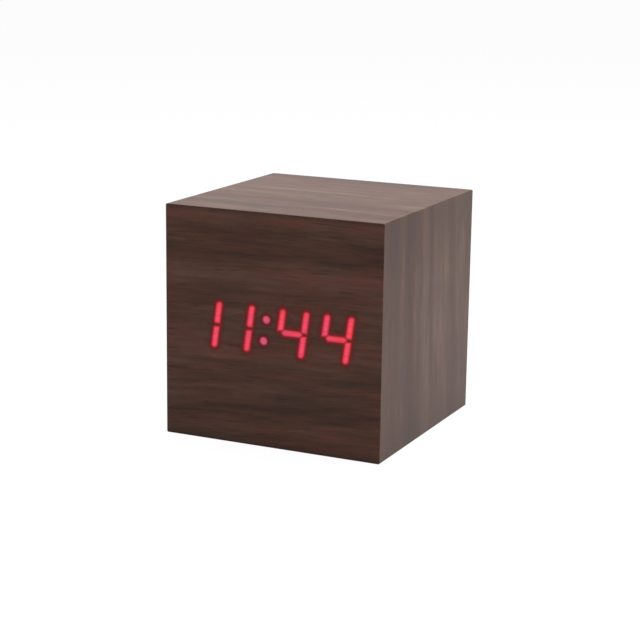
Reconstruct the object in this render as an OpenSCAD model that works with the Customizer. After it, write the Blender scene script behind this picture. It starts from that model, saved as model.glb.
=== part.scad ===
// Cube alarm clock: a mitred box of film-faced boards, a lit four-digit display behind a thin
// wood-grain film, and a moulded rear cover with a battery bay, three buttons and a power socket.
// Millimetres. X runs to the right, Y to the back and Z up. The origin is under the middle of the base.

/* [Case] */
// Thickness of the five film-faced boards
board_t = 4; // [3:0.1:6]
// Least room between the battery bay and the boards beside it. It sets the side of the cube
side_room = 1.7; // [0.6:0.1:12]
// Thickness of the wood-grain film over the front
film_t = 0.25; // [0.15:0.05:0.5]
// Radius of the long outer edges, where the board's facing is folded
edge_r = 0.4; // [0.2:0.1:1.5]
// Side of the square glue blocks in the rear corners
block_side = 7; // [6:0.1:9]
// Length of the glue blocks
block_len = 16; // [12:1:20]

/* [Display] */
// Hours shown, tens digit
hour_tens = 1; // [0:1:9]
// Hours shown, units digit
hour_units = 1; // [0:1:9]
// Minutes shown, tens digit
minute_tens = 4; // [0:1:9]
// Minutes shown, units digit
minute_units = 4; // [0:1:9]
// Height of a digit
digit_h = 12.3; // [10:0.1:13.6]
// Distance between a digit's two upright strokes
digit_w = 6.7; // [5:0.1:7.4]
// Width of an upright stroke
stroke_w = 1.7; // [1.4:0.05:2.1]
// Width of a level stroke
level_w = 1.55; // [1.2:0.05:2]
// Width of a level stroke's blunt points
stroke_tip = 0.3; // [0.2:0.05:0.5]
// Gap between the upper and the lower upright stroke
stroke_gap = 0.8; // [0.5:0.05:1]
// Corner cut off an upright stroke where the middle stroke meets it
stroke_cut = 0.4; // [0.2:0.05:0.6]
// Gap between a level stroke and the uprights beside it
join_gap = 0.15; // [0.1:0.01:0.3]
// Lean of the digits to the right, in degrees
digit_lean = 7.6; // [0:0.2:10]
// Height of the display's middle over the middle of the front
display_rise = 0.3; // [-2:0.1:2]
// Middle of the two hour digits
hours_x = -14.4; // [-16:0.05:-13]
// Distance between the hour digits
hour_pitch = 9.5; // [8.6:0.1:12]
// Middle of the two minute digits
minutes_x = 12.2; // [11.6:0.05:15]
// Distance between the minute digits
minute_pitch = 12.5; // [9:0.1:13]
// Middle of the colon
colon_x = -1.75; // [-2.1:0.05:-1.4]
// Distance between the colon's dots
colon_pitch = 5.7; // [4:0.1:8]
// Diameter of a colon dot
dot_d = 2.1; // [1.4:0.1:2.4]
// Room between the digits and the edge of the window in the front board
window_margin = 1; // [0.6:0.1:2]
// Least width of the front board beside its window
window_lap = 1.8; // [1:0.1:6]
// Thickness of the reflector's flange
flange_t = 1.5; // [1:0.1:2.5]
// Height of the flange and of the display's circuit board
flange_h = 25; // [22.5:0.5:32]
// Thickness of the display's circuit board
display_pcb_t = 1.6; // [0.8:0.1:2]

/* [Rear cover] */
// How far the cover sits inside the open back of the case
cover_inset = 1; // [0.8:0.1:2]
// Thickness of the cover
cover_t = 3; // [2.7:0.1:4]
// Gap between the cover and the boards
cover_gap = 0.3; // [0.1:0.05:0.5]
// Number of sound slots
slot_count = 7; // [3:1:9]
// Width of a sound slot
slot_w = 1.2; // [0.8:0.1:1.6]
// Height of a sound slot
slot_h = 4; // [2:0.1:5]
// Distance between sound slots
slot_pitch = 3; // [2.4:0.1:3.6]

/* [Battery bay] */
// Diameter of a cell
cell_d = 10.5; // [9:0.1:14.5]
// Length of a cell over its positive nub
cell_len = 44.5; // [40:0.1:50.5]
// Gap between neighbouring cells
cell_gap = 0.4; // [0.2:0.05:2]
// Spare length of the opening over the cells
opening_room = 0.9; // [0.4:0.1:1.6]
// Compressed length of a contact spring
spring_len = 2.7; // [2.4:0.1:5]
// Thickness of the contact plates
contact_t = 0.3; // [0.2:0.05:0.5]
// Thickness of the bay's walls
bay_wall = 1.4; // [1:0.1:2.5]
// Width of the lip that the door rests on
door_lap = 1.2; // [0.8:0.1:1.4]
// Thickness of the door
door_t = 2; // [1.8:0.1:2.2]
// Gap around the door
door_gap = 0.15; // [0.1:0.05:0.25]
// Radius of the door's hinge pins
hinge_pin_r = 0.6; // [0.4:0.05:0.7]
// Width of the door's latch tongue
tongue_w = 10; // [6:0.5:16]
// Length of the door's latch tongue
tongue_len = 7; // [5:0.5:12]

/* [Buttons and socket] */
// Diameter of a button
button_d = 4.8; // [3.6:0.1:5.4]
// How far a button stands out of the cover
button_proud = 0.7; // [0.3:0.1:0.8]
// How far a button can be pressed
button_travel = 0.5; // [0.25:0.05:0.6]
// Distance between buttons
button_pitch = 7; // [6.8:0.1:10]
// Side of the power socket's square body
jack_side = 7; // [6:0.1:9]
// Gap between the power socket and the first switch
jack_gap = 1.5; // [0.8:0.1:4]
// Gap between the row's ends and the posts that carry the button board
post_gap = 0.75; // [0.3:0.05:2]
// Depth of the power socket
jack_depth = 9; // [8:0.1:11]
// Radius of the hole that the plug's barrel goes into
jack_bore_r = 1.85; // [1.6:0.05:2]
// Radius of the socket's centre pin
jack_pin_r = 0.65; // [0.4:0.05:0.8]
// Radius of the cover's hole for the nose of the plug
plug_hole_r = 4; // [3:0.1:4.4]
// Thickness of the button board
key_pcb_t = 1.2; // [0.8:0.1:1.6]

/* [Hidden] */
$fn = 48;

// How far a cut runs past the face that it opens
over = 0.1;
// Clearance of a screw in the hole that it bites
thread_gap = 0.03;
// Clearance of a screw in a hole that it only passes
pass_gap = 0.2;
// Clearance of a piece that drops into a pocket
drop_gap = 0.2;
// Steps in a quarter of a rounded edge
edge_steps = 6;
// Steps in the round end of a stroke
cap_steps = 12;

// The case is as large as the widest or tallest thing that it holds
cell_room = 0.25;
block_room = 0.6;
key_gap = 0.5;
key_edge = 1.4;
post_r = 2.2;
post_edge = 0.1;
switch_side = 6;
bay_len = cell_len + spring_len + 2 * contact_t;
bay_h = 3 * cell_d + 2 * cell_gap + 2 * cell_room;
row_w = jack_side + jack_gap + 2 * button_pitch + switch_side + 2 * (post_gap + 2 * post_r + post_edge);
lean_reach = digit_h / 2 * tan(digit_lean);
digit_reach = digit_w / 2 + stroke_w / 2 + lean_reach;
digits_reach = max(hour_pitch / 2 - hours_x, minutes_x + minute_pitch / 2) + digit_reach;
window_w = 2 * (digits_reach + window_margin);
window_h = digit_h + 2 * window_margin;
inner_side = max(
    bay_len + 2 * (bay_wall + side_room),
    bay_h + 2 * bay_wall + block_side + block_room + jack_side + 2 * (key_edge + key_gap),
    row_w + 2 * (block_side + key_gap),
    window_w + 2 * window_lap
);
cube_side = inner_side + 2 * board_t;

// Planes of the case
half = cube_side / 2;
inner = half - board_t;
mid_z = half;
front_y = -half;
back_y = half;
board_front_y = front_y + film_t;
board_back_y = board_front_y + board_t;
floor_z = board_t;
ceiling_z = cube_side - board_t;

// Display, from the film back to the circuit board
display_z = mid_z + display_rise;
digit_x = [
    hours_x - hour_pitch / 2, hours_x + hour_pitch / 2,
    minutes_x - minute_pitch / 2, minutes_x + minute_pitch / 2
];
shown = [hour_tens, hour_units, minute_tens, minute_units];
ALL_STROKES = [0, 1, 2, 3, 4, 5, 6];
STROKES_OF = [
    [0, 1, 2, 3, 4, 5], [1, 2], [0, 1, 3, 4, 6], [0, 1, 2, 3, 6], [1, 2, 5, 6],
    [0, 2, 3, 5, 6], [0, 2, 3, 4, 5, 6], [0, 1, 2], ALL_STROKES, [0, 1, 2, 3, 5, 6]
];
guide_gap = 0.05;
led_size = [0.8, 0.6, 1.6];
led_gap = 0.1;
module_gap = 0.5;
module_w = 2 * inner - 2 * module_gap;
pcb_front_y = board_back_y + flange_t;
pcb_back_y = pcb_front_y + display_pcb_t;
small_screw_r = 1;
small_head_r = 1.9;
small_head_h = 1.3;
small_screw_bite = 2.6;
small_screw_inset = 2.2;
pilot_room = 0.3;
display_screw_x = module_w / 2 - small_screw_inset;
display_screw_dz = flange_h / 2 - small_screw_inset;

// Rear cover and what it carries
cover_half = inner - cover_gap;
cover_out_y = back_y - cover_inset;
cover_in_y = cover_out_y - cover_t;
cover_screw_r = 1.1;
cover_head_r = 2.1;
cover_head_h = 1.3;
cover_screw_len = 10;
counterbore_depth = 1.5;
cover_screw_x = inner - block_side / 2;
cover_screw_z = [floor_z + block_side / 2, ceiling_z - block_side / 2];

// Battery bay, with the cells lying along X above each other
cell_r = cell_d / 2;
cell_pitch = cell_d + cell_gap;
cell_behind = 0.4;
bay_z0 = floor_z + block_side + block_room + bay_wall;
bay_z1 = bay_z0 + bay_h;
cell_y = cover_in_y - cell_behind - cell_r;
bay_floor_y = cell_y - cell_r - cell_room;
bay_back_y = bay_floor_y - bay_wall;
opening_w = cell_len + opening_room;
nub_r = 1.9;
nub_len = 0.8;
// Cells from the bottom up, with the side that each positive nub points to
cell_side = [-1, 1, -1];
rib_w = 1.2;
rib_h = 2.4;
contact_w = 7;
tab_w = 3;
tab_reach = 2;
tab_room = 0.15;
spring_wire_r = 0.25;
spring_turns = 2.5;
spring_r_wide = 3.6;
spring_r_tip = 2;

// Door in its rebate, hinged along its lower edge
rebate_x = opening_w / 2 + door_lap;
rebate_z0 = bay_z0 - door_lap;
rebate_z1 = bay_z1 + door_lap;
rebate_y = cover_out_y - door_t;
hinge_y = cover_out_y - door_t / 2;
hinge_z = rebate_z0 + door_gap + door_t / 2;
barrel_gap = 0.15;
barrel_r = door_t / 2 - barrel_gap;
hinge_pin_len = 1.6;
hinge_fit = 0.06;
hinge_hole_x = rebate_x + hinge_pin_len + drop_gap;
door_x = rebate_x - door_gap;
door_top_z = rebate_z1 - door_gap;
tongue_slot = 0.8;
nose_h = 0.6;
nose_reach = 0.8;
nose_room = 0.2;
scoop_r = 9;
scoop_depth = 0.9;
door_rib_w = 1;
door_rib_h = 0.3;

// Buttons, socket and the small board behind them
row_z = (rebate_z1 + ceiling_z - cover_gap) / 2;
post_x = row_w / 2 - post_edge - post_r;
jack_x = -post_x + post_r + post_gap + jack_side / 2;
first_button_x = jack_x + jack_side / 2 + jack_gap + switch_side / 2;
button_x = [for (i = [0 : 2]) first_button_x + i * button_pitch];
button_hole_gap = 0.3;
button_chamfer = 0.4;
collar_lap = 0.7;
collar_r = button_d / 2 + collar_lap;
collar_t = 0.8;
stem_r = 1.5;
switch_h = 3.5;
plunger_r = 1.75;
plunger_out = 1.5;
plunger_in = 1.5;
plunger_fit = 0.06;
plunger_floor = 0.3;
key_rear_y = cover_in_y - jack_depth;
key_front_y = key_rear_y - key_pcb_t;
key_half_w = row_w / 2;
key_z0 = bay_z1 + bay_wall + key_gap;
key_z1 = ceiling_z - key_gap;
plunger_tip_y = key_rear_y + switch_h + plunger_out;
jack_wall = 1;
jack_pin_set_back = 1;
key_screw_r = 0.9;
key_head_r = 1.7;
key_head_h = 1.2;
key_screw_bite = 5;

// Parts on the back of the display's circuit board: places are from the middle of that board
chip_body = [17.9, 2.3, 7.5];
chip_at = [-1, -4.4];
chip_legs = 14;
driver_body = [9.9, 1.5, 3.9];
driver_at = [-16.8, -4.2];
driver_legs = 8;
leg_pitch = 1.27;
leg_w = 0.42;
leg_reach = 1.2;
leg_t = 0.2;
leg_stand = 0.1;
crystal_r = 1;
crystal_len = 6;
crystal_at = [13.6, 8];
capacitor_r = 2.5;
capacitor_h = 7;
capacitor_groove = 0.3;
capacitor_groove_at = 1;
capacitor_at = [-18.4, 5.4];
buzzer_r = 6;
buzzer_h = 8.5;
buzzer_hole_r = 1.2;
buzzer_hole_depth = 2;
buzzer_at = [16, -2.4];
mic_r = 3;
mic_h = 2.7;
mic_at = [5.6, 6.6];
bead_r = 1.2;
bead_stand = 4;
bead_lead_r = 0.25;
bead_lead_gap = 1.2;
bead_at = [-12.6, 5.6];
solder_gap = 0.05;

// Leads and ribbon inside the case
ribbon_w = 10;
ribbon_t = 0.9;
ribbon_sag = 5;
ribbon_steps = 24;
plug_size = [12, 4, 3.6];
ribbon_at = [-5, 7.4];
lead_r = 0.6;
lead_bow = 9;
lead_steps = 24;
lead_sides = 8;
lead_pad_x = 12;

// Points of a square with rounded corners, in X and Z, about the middle of the front
function corner_arc(cx, cz, from) = [
    for (i = [0 : 2 * edge_steps])
        let (a = from + 45 * i / edge_steps)
        [cx, cz] + edge_r * [cos(a), sin(a)]
];
function case_outline() = let (c = half - edge_r)
    concat(
        corner_arc(c, c, 0), corner_arc(-c, c, 90),
        corner_arc(-c, -c, 180), corner_arc(c, -c, 270)
    );

// Section of one long board about the middle of the case, with its mitres along the diagonals
function board_section() = let (c = half - edge_r)
    concat(
        [[-inner, inner], [inner, inner]],
        [for (i = [0 : edge_steps]) let (a = 45 + 45 * i / edge_steps) [c, c] + edge_r * [cos(a), sin(a)]],
        [for (i = [0 : edge_steps]) let (a = 90 + 45 * i / edge_steps) [-c, c] + edge_r * [cos(a), sin(a)]]
    );

// An upright stroke, from its flat end at the origin to its round end above. The flat end has one corner
// cut off, on the left where side is -1 and on the right where it is 1
function upright(len, w, cut, side) =
    concat(
        [[side * (w / 2 - cut), 0], [-side * w / 2, 0]],
        [for (i = [0 : cap_steps]) let (a = 180 * i / cap_steps)
            [-side * w / 2 * cos(a), len - w / 2 + w / 2 * sin(a)]],
        [[side * w / 2, cut]]
    );
// A level stroke, pointed at both ends, about the origin
function level(len, w) = let (shoulder = (w - stroke_tip) / 2, l = len / 2)
    [
        [-l, -stroke_tip / 2], [shoulder - l, -w / 2], [l - shoulder, -w / 2], [l, -stroke_tip / 2],
        [l, stroke_tip / 2], [l - shoulder, w / 2], [shoulder - l, w / 2], [-l, stroke_tip / 2]
    ];
function moved(points, x, z, flip) = [for (p = points) [p[0] + x, p[1] * flip + z]];
function leaned(points) = [for (p = points) [p[0] + p[1] * tan(digit_lean), p[1]]];

// Outline of one stroke of a digit, about the digit's middle: 0 top, 1 upper right, 2 lower right,
// 3 bottom, 4 lower left, 5 upper left, 6 middle. It is taken in by inset on every side
function stroke(k, inset) =
    let (
        w = stroke_w - 2 * inset,
        flat_w = level_w - 2 * inset,
        tall = digit_h / 2 - stroke_gap / 2 - 2 * inset,
        start = stroke_gap / 2 + inset,
        cut = stroke_cut - (2 - sqrt(2)) * inset,
        end_len = digit_w - stroke_w - 2 * join_gap - 2 * inset,
        mid_len = digit_w - stroke_w + stroke_gap + 2 * stroke_cut
            - 2 * sqrt(2) * join_gap - stroke_tip - 2 * inset,
        end_z = (digit_h - level_w) / 2,
        side_x = digit_w / 2
    )
    leaned(
        k == 0 ? moved(level(end_len, flat_w), 0, end_z, 1) :
        k == 1 ? moved(upright(tall, w, cut, -1), side_x, start, 1) :
        k == 2 ? moved(upright(tall, w, cut, -1), side_x, -start, -1) :
        k == 3 ? moved(level(end_len, flat_w), 0, -end_z, 1) :
        k == 4 ? moved(upright(tall, w, cut, 1), -side_x, -start, -1) :
        k == 5 ? moved(upright(tall, w, cut, 1), -side_x, start, 1) :
        level(mid_len, flat_w)
    );
// Middle of a stroke, where its lamp sits
function stroke_middle(k) =
    let (
        side_x = digit_w / 2 * [0, 1, 1, 0, -1, -1, 0][k],
        z = [(digit_h - level_w) / 2, digit_h / 4, -digit_h / 4, (level_w - digit_h) / 2,
            -digit_h / 4, digit_h / 4, 0][k]
    )
    [side_x + z * tan(digit_lean), z];
// Middle of a colon dot, above (1) or below (-1) the display's middle line
function dot_middle(up) = [colon_x, display_z] + up * colon_pitch / 2 * [tan(digit_lean), 1];

// A round tube along a list of points, as one closed solid. Its rings stand square to the path
function unit(v) = v / norm(v);
function heading(path, i) = unit(path[min(i + 1, len(path) - 1)] - path[max(i - 1, 0)]);
function ring(p, d, r, sides, across) =
    let (u = unit(cross(d, across)), v = cross(d, u))
    [for (k = [0 : sides - 1]) p + r * (cos(360 * k / sides) * u + sin(360 * k / sides) * v)];
function tube_points(path, r, sides, across) =
    [for (i = [0 : len(path) - 1]) each ring(path[i], heading(path, i), r, sides, across)];
function tube_faces(rings, sides) = concat(
    [for (k = [1 : sides - 2]) [0, k + 1, k]],
    [for (i = [0 : rings - 2], k = [0 : sides - 1]) let (a = i * sides + k, b = i * sides + (k + 1) % sides)
        each [[a, b, b + sides], [a, b + sides, a + sides]]],
    [for (k = [1 : sides - 2]) let (e = (rings - 1) * sides) [e, e + k, e + k + 1]]
);
function bezier(a, b, c, d, t) =
    pow(1 - t, 3) * a + 3 * t * pow(1 - t, 2) * b + 3 * t * t * (1 - t) * c + pow(t, 3) * d;

module tube(path, r, sides, across) {
    polyhedron(tube_points(path, r, sides, across), tube_faces(len(path), sides));
}

module box(low, high) {
    translate(low)
        cube(high - low);
}

// Extrudes a plan drawn in X and Z, from y0 back to y1
module from_front(y0, y1) {
    translate([0, y1, 0])
        rotate([90, 0, 0])
            linear_extrude(y1 - y0)
                children();
}

// Extrudes a section drawn in Y and Z, from x0 to x1
module sideways(x0, x1) {
    translate([x0, 0, 0])
        rotate([90, 0, 90])
            linear_extrude(x1 - x0)
                children();
}

module rod_y(x, z, y0, y1, r) {
    translate([x, y0, z])
        rotate([-90, 0, 0])
            cylinder(h = y1 - y0, r = r);
}

module rod_x(y, z, x0, x1, r) {
    translate([x0, y, z])
        rotate([0, 90, 0])
            cylinder(h = x1 - x0, r = r);
}

// A pan-head screw that lies along Y, its head towards the back
module screw(x, z, head_y, r, len, head_r, head_h) {
    rod_y(x, z, head_y - len, head_y + over, r);
    rod_y(x, z, head_y, head_y + head_h, head_r);
}

// Plans of the display's strokes and dots
module strokes_plan(which, inset) {
    for (i = [0 : 3])
        translate([digit_x[i], display_z])
            for (k = which[i])
                polygon(stroke(k, inset));
}

module dots_plan(inset) {
    for (up = [-1, 1])
        translate(dot_middle(up))
            circle(r = dot_d / 2 - inset);
}

function lit_strokes() = [for (d = shown) STROKES_OF[floor(d)]];
function every_stroke() = [for (d = shown) ALL_STROKES];

// One of the four long boards, turned about the case's middle line, mitred to the front board
module long_board(turn) {
    color("#4a3229")
        translate([0, 0, mid_z])
            rotate([0, turn, 0])
                intersection() {
                    from_front(board_front_y, back_y)
                        polygon(board_section());
                    sideways(-half, half)
                        polygon([
                            [board_front_y, half], [back_y, half],
                            [back_y, inner], [board_back_y, inner]
                        ]);
                }
}

module front_board() {
    color("#4a3229")
        difference() {
            intersection() {
                translate([0, 0, mid_z])
                    from_front(board_front_y, board_back_y)
                        polygon(case_outline());
                sideways(-half, half)
                    polygon([
                        [board_front_y, 0], [board_back_y, floor_z],
                        [board_back_y, ceiling_z], [board_front_y, cube_side]
                    ]);
                linear_extrude(cube_side)
                    polygon([
                        [-half, board_front_y], [half, board_front_y],
                        [inner, board_back_y], [-inner, board_back_y]
                    ]);
            }
            translate([0, 0, display_z])
                from_front(board_front_y - over, board_back_y + over)
                    square([window_w, window_h], center = true);
            display_screw_holes(small_screw_r + thread_gap,
                board_back_y - small_screw_bite - pilot_room, board_back_y + over);
        }
}

module display_screw_holes(r, y0, y1) {
    for (x = [-display_screw_x, display_screw_x], dz = [-display_screw_dz, display_screw_dz])
        rod_y(x, display_z + dz, y0, y1, r);
}

module front_film() {
    color("#46302a")
        from_front(front_y, board_front_y)
            difference() {
                translate([0, mid_z])
                    polygon(case_outline());
                strokes_plan(lit_strokes(), 0);
                dots_plan(0);
            }
}

module lit_digit_segments() {
    color("#f4445a")
        from_front(front_y, board_front_y)
            strokes_plan(lit_strokes(), 0);
}

module lit_colon_dots() {
    color("#d8567a")
        from_front(front_y, board_front_y)
            dots_plan(0);
}

module corner_blocks() {
    color("#b08a5c")
        for (side = [-1, 1], z = cover_screw_z)
            difference() {
                translate([side * cover_screw_x, cover_in_y - block_len / 2, z])
                    cube([block_side, block_len, block_side], center = true);
                rod_y(side * cover_screw_x, z, cover_out_y - counterbore_depth - cover_screw_len - pilot_room,
                    cover_in_y + over, cover_screw_r + thread_gap);
            }
}

module digit_reflector() {
    color("#1a1a1c")
        difference() {
            union() {
                from_front(board_front_y, board_back_y + over)
                    reflector_plan(window_w - 2 * drop_gap, window_h - 2 * drop_gap);
                from_front(board_back_y, pcb_front_y)
                    reflector_plan(module_w, flange_h);
            }
            display_screw_holes(small_screw_r + pass_gap, board_back_y - over, pcb_front_y + over);
        }
}

module reflector_plan(w, h) {
    difference() {
        translate([0, display_z])
            square([w, h], center = true);
        strokes_plan(every_stroke(), 0);
        dots_plan(0);
    }
}

module light_guides() {
    color("#f0e6e4")
        from_front(board_front_y, pcb_front_y - led_size[1] - led_gap) {
            strokes_plan(every_stroke(), guide_gap);
            dots_plan(guide_gap);
        }
}

module display_pcb() {
    color("#1f6b3a")
        difference() {
            translate([0, 0, display_z])
                from_front(pcb_front_y, pcb_back_y)
                    square([module_w, flange_h], center = true);
            display_screw_holes(small_screw_r + pass_gap, pcb_front_y - over, pcb_back_y + over);
        }
}

module segment_leds() {
    color("#f2efe2") {
        for (i = [0 : 3], k = ALL_STROKES)
            translate([digit_x[i] + stroke_middle(k)[0], 0, display_z + stroke_middle(k)[1]])
                led(k == 0 || k == 3 || k == 6);
        for (up = [-1, 1])
            translate([dot_middle(up)[0], 0, dot_middle(up)[1]])
                led(false);
    }
}

module led(lying) {
    w = lying ? led_size[2] : led_size[0];
    h = lying ? led_size[0] : led_size[2];
    translate([-w / 2, pcb_front_y - led_size[1], -h / 2])
        cube([w, led_size[1], h]);
}

module display_screws() {
    color("#b9bcc0")
        for (x = [-display_screw_x, display_screw_x], dz = [-display_screw_dz, display_screw_dz])
            screw(x, display_z + dz, pcb_back_y, small_screw_r,
                display_pcb_t + flange_t + small_screw_bite, small_head_r, small_head_h);
}

// A chip lying on the back of the display's board, with a row of bent legs above and below
module leggy_chip(body, at, legs) {
    y0 = pcb_back_y + leg_stand;
    top_y = y0 + body[1] / 2;
    foot_y = pcb_back_y + leg_t;
    root_z = body[2] / 2 - leg_t;
    bend_z = body[2] / 2 + leg_reach / 2;
    toe_z = body[2] / 2 + leg_reach;
    translate([at[0], 0, display_z + at[1]]) {
        translate([-body[0] / 2, y0, -body[2] / 2])
            cube(body);
        for (i = [0 : legs - 1], flip = [0, 1]) {
            leg_x = leg_pitch * (i - (legs - 1) / 2);
            mirror([0, 0, flip])
                sideways(leg_x - leg_w / 2, leg_x + leg_w / 2)
                    polygon([
                        [top_y, root_z], [top_y, bend_z], [foot_y, bend_z], [foot_y, toe_z],
                        [pcb_back_y, toe_z], [pcb_back_y, bend_z - leg_t],
                        [top_y - leg_t, bend_z - leg_t], [top_y - leg_t, root_z]
                    ]);
        }
    }
}

module controller_chip() {
    color("#222224")
        leggy_chip(chip_body, chip_at, chip_legs);
}

module driver_chip() {
    color("#222224")
        leggy_chip(driver_body, driver_at, driver_legs);
}

module quartz_crystal() {
    color("#c6c8ca")
        rod_x(pcb_back_y + crystal_r + solder_gap, display_z + crystal_at[1],
            crystal_at[0], crystal_at[0] + crystal_len, crystal_r);
}

module reservoir_capacitor() {
    neck_r = capacitor_r - capacitor_groove;
    low = capacitor_groove_at;
    color("#26344f")
        translate([capacitor_at[0], pcb_back_y, display_z + capacitor_at[1]])
            rotate([-90, 0, 0])
                rotate_extrude()
                    polygon([
                        [0, 0], [capacitor_r, 0], [capacitor_r, low], [neck_r, low + capacitor_groove],
                        [neck_r, low + 2 * capacitor_groove], [capacitor_r, low + 3 * capacitor_groove],
                        [capacitor_r, capacitor_h - capacitor_groove], [neck_r, capacitor_h], [0, capacitor_h]
                    ]);
}

module alarm_buzzer() {
    x = buzzer_at[0];
    z = display_z + buzzer_at[1];
    color("#18181a")
        difference() {
            rod_y(x, z, pcb_back_y, pcb_back_y + buzzer_h, buzzer_r);
            rod_y(x, z, pcb_back_y + buzzer_h - buzzer_hole_depth, pcb_back_y + buzzer_h + over,
                buzzer_hole_r);
        }
}

module microphone() {
    color("#c4c6c8")
        rod_y(mic_at[0], display_z + mic_at[1], pcb_back_y, pcb_back_y + mic_h, mic_r);
}

module thermistor() {
    z = display_z + bead_at[1];
    bead_y = pcb_back_y + bead_stand;
    color("#2b2320") {
        translate([bead_at[0], bead_y, z])
            sphere(r = bead_r);
        for (side = [-1, 1])
            rod_y(bead_at[0] + side * bead_lead_gap / 2, z, pcb_back_y, bead_y, bead_lead_r);
    }
}

// The flat ribbon leaves one plug towards the back, sags and enters the other
ribbon_y0 = pcb_back_y + plug_size[2];
ribbon_y1 = key_front_y - plug_size[2];
ribbon_z0 = display_z + ribbon_at[1];
ribbon_z1 = row_z;
function ribbon_z(t) =
    ribbon_z0 + (ribbon_z1 - ribbon_z0) * t * t * (3 - 2 * t) - ribbon_sag * pow(sin(180 * t), 2);
function ribbon_edge(shift) = [
    for (i = [0 : ribbon_steps])
        let (t = i / ribbon_steps)
        [ribbon_y0 + (ribbon_y1 - ribbon_y0) * t, ribbon_z(t) + shift]
];

module ribbon_cable() {
    edge_above = ribbon_edge(ribbon_t / 2);
    edge_below = ribbon_edge(-ribbon_t / 2);
    color("#8d9196")
        sideways(ribbon_at[0] - ribbon_w / 2, ribbon_at[0] + ribbon_w / 2)
            polygon(concat(edge_below, [for (i = [ribbon_steps : -1 : 0]) edge_above[i]]));
}

module ribbon_plugs() {
    color("#ece8dc") {
        translate([ribbon_at[0] - plug_size[0] / 2, pcb_back_y, ribbon_z0 - plug_size[1] / 2])
            cube([plug_size[0], plug_size[2], plug_size[1]]);
        translate([ribbon_at[0] - plug_size[0] / 2, ribbon_y1, ribbon_z1 - plug_size[1] / 2])
            cube([plug_size[0], plug_size[2], plug_size[1]]);
    }
}

// Height of a cell's middle: 0 is the lowest cell
function cell_z(i) = bay_z0 + cell_room + cell_r + i * cell_pitch;
function contact_x(side) = side * (bay_len / 2 - contact_t);

module rear_cover() {
    color("#1c1c1e") {
        difference() {
            union() {
                box([-cover_half, cover_in_y, floor_z + cover_gap],
                    [cover_half, cover_out_y, ceiling_z - cover_gap]);
                box([-bay_len / 2 - bay_wall, bay_back_y, bay_z0 - bay_wall],
                    [bay_len / 2 + bay_wall, cover_in_y + over, bay_z1 + bay_wall]);
                for (x = [-post_x, post_x])
                    rod_y(x, row_z, key_rear_y, cover_in_y + over, post_r);
            }
            box([-bay_len / 2, bay_floor_y, bay_z0], [bay_len / 2, cover_in_y, bay_z1]);
            box([-opening_w / 2, cover_in_y - over, bay_z0], [opening_w / 2, rebate_y + over, bay_z1]);
            box([-rebate_x, rebate_y, rebate_z0], [rebate_x, cover_out_y + over, rebate_z1]);
            rod_x(hinge_y, hinge_z, -hinge_hole_x, hinge_hole_x, hinge_pin_r + hinge_fit);
            for (x = button_x)
                rod_y(x, row_z, cover_in_y - over, cover_out_y + over, button_d / 2 + button_hole_gap);
            rod_y(jack_x, row_z, cover_in_y - over, cover_out_y + over, plug_hole_r);
            for (side = [-1, 1], z = cover_screw_z) {
                rod_y(side * cover_screw_x, z, cover_in_y - over, cover_out_y, cover_screw_r + pass_gap);
                rod_y(side * cover_screw_x, z, cover_out_y - counterbore_depth, cover_out_y + over,
                    cover_head_r + pass_gap);
            }
            for (x = [-post_x, post_x])
                rod_y(x, row_z, key_rear_y - over, key_rear_y + key_screw_bite + pilot_room,
                    key_screw_r + thread_gap);
            sound_slots();
            for (cell = [0, 2])
                tab_slot(cell);
        }
        for (i = [0 : 1])
            translate([0, 0, (cell_z(i) + cell_z(i + 1)) / 2])
                box([-opening_w / 2, bay_floor_y - over, -rib_w / 2],
                    [opening_w / 2, bay_floor_y + rib_h, rib_w / 2]);
    }
}

module sound_slots() {
    slots_z = (floor_z + cover_gap + rebate_z0) / 2;
    for (i = [0 : slot_count - 1])
        translate([slot_pitch * (i - (slot_count - 1) / 2), 0, slots_z]) {
            box([-slot_w / 2, cover_in_y - over, -(slot_h - slot_w) / 2],
                [slot_w / 2, cover_out_y + over, (slot_h - slot_w) / 2]);
            for (up = [-1, 1])
                rod_y(0, up * (slot_h - slot_w) / 2, cover_in_y - over, cover_out_y + over, slot_w / 2);
        }
}

// Slot in the bay's floor for the soldering tab of the lowest cell's or the highest cell's contact
module tab_slot(cell) {
    side = cell == 0 ? 1 : -1;
    x0 = contact_x(side);
    x1 = side * bay_len / 2;
    box([min(x0, x1) - tab_room, bay_back_y - over, cell_z(cell) - tab_w / 2 - tab_room],
        [max(x0, x1) + tab_room, bay_floor_y + over, cell_z(cell) + tab_w / 2 + tab_room]);
}

module cover_screws() {
    color("#2c2c2e")
        for (side = [-1, 1], z = cover_screw_z)
            difference() {
                screw(side * cover_screw_x, z, cover_out_y - counterbore_depth, cover_screw_r,
                    cover_screw_len, cover_head_r, cover_head_h);
                cross_recess(side * cover_screw_x, z, cover_out_y - counterbore_depth + cover_head_h);
            }
}

// Cross-shaped recess in a screw head whose top is at y
module cross_recess(x, z, y) {
    recess_len = 2.4;
    recess_w = 0.6;
    recess_depth = 0.7;
    translate([x, y, z])
        for (turn = [0, 90])
            rotate([0, turn, 0])
                box([-recess_len / 2, -recess_depth, -recess_w / 2], [recess_len / 2, over, recess_w / 2]);
}

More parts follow.
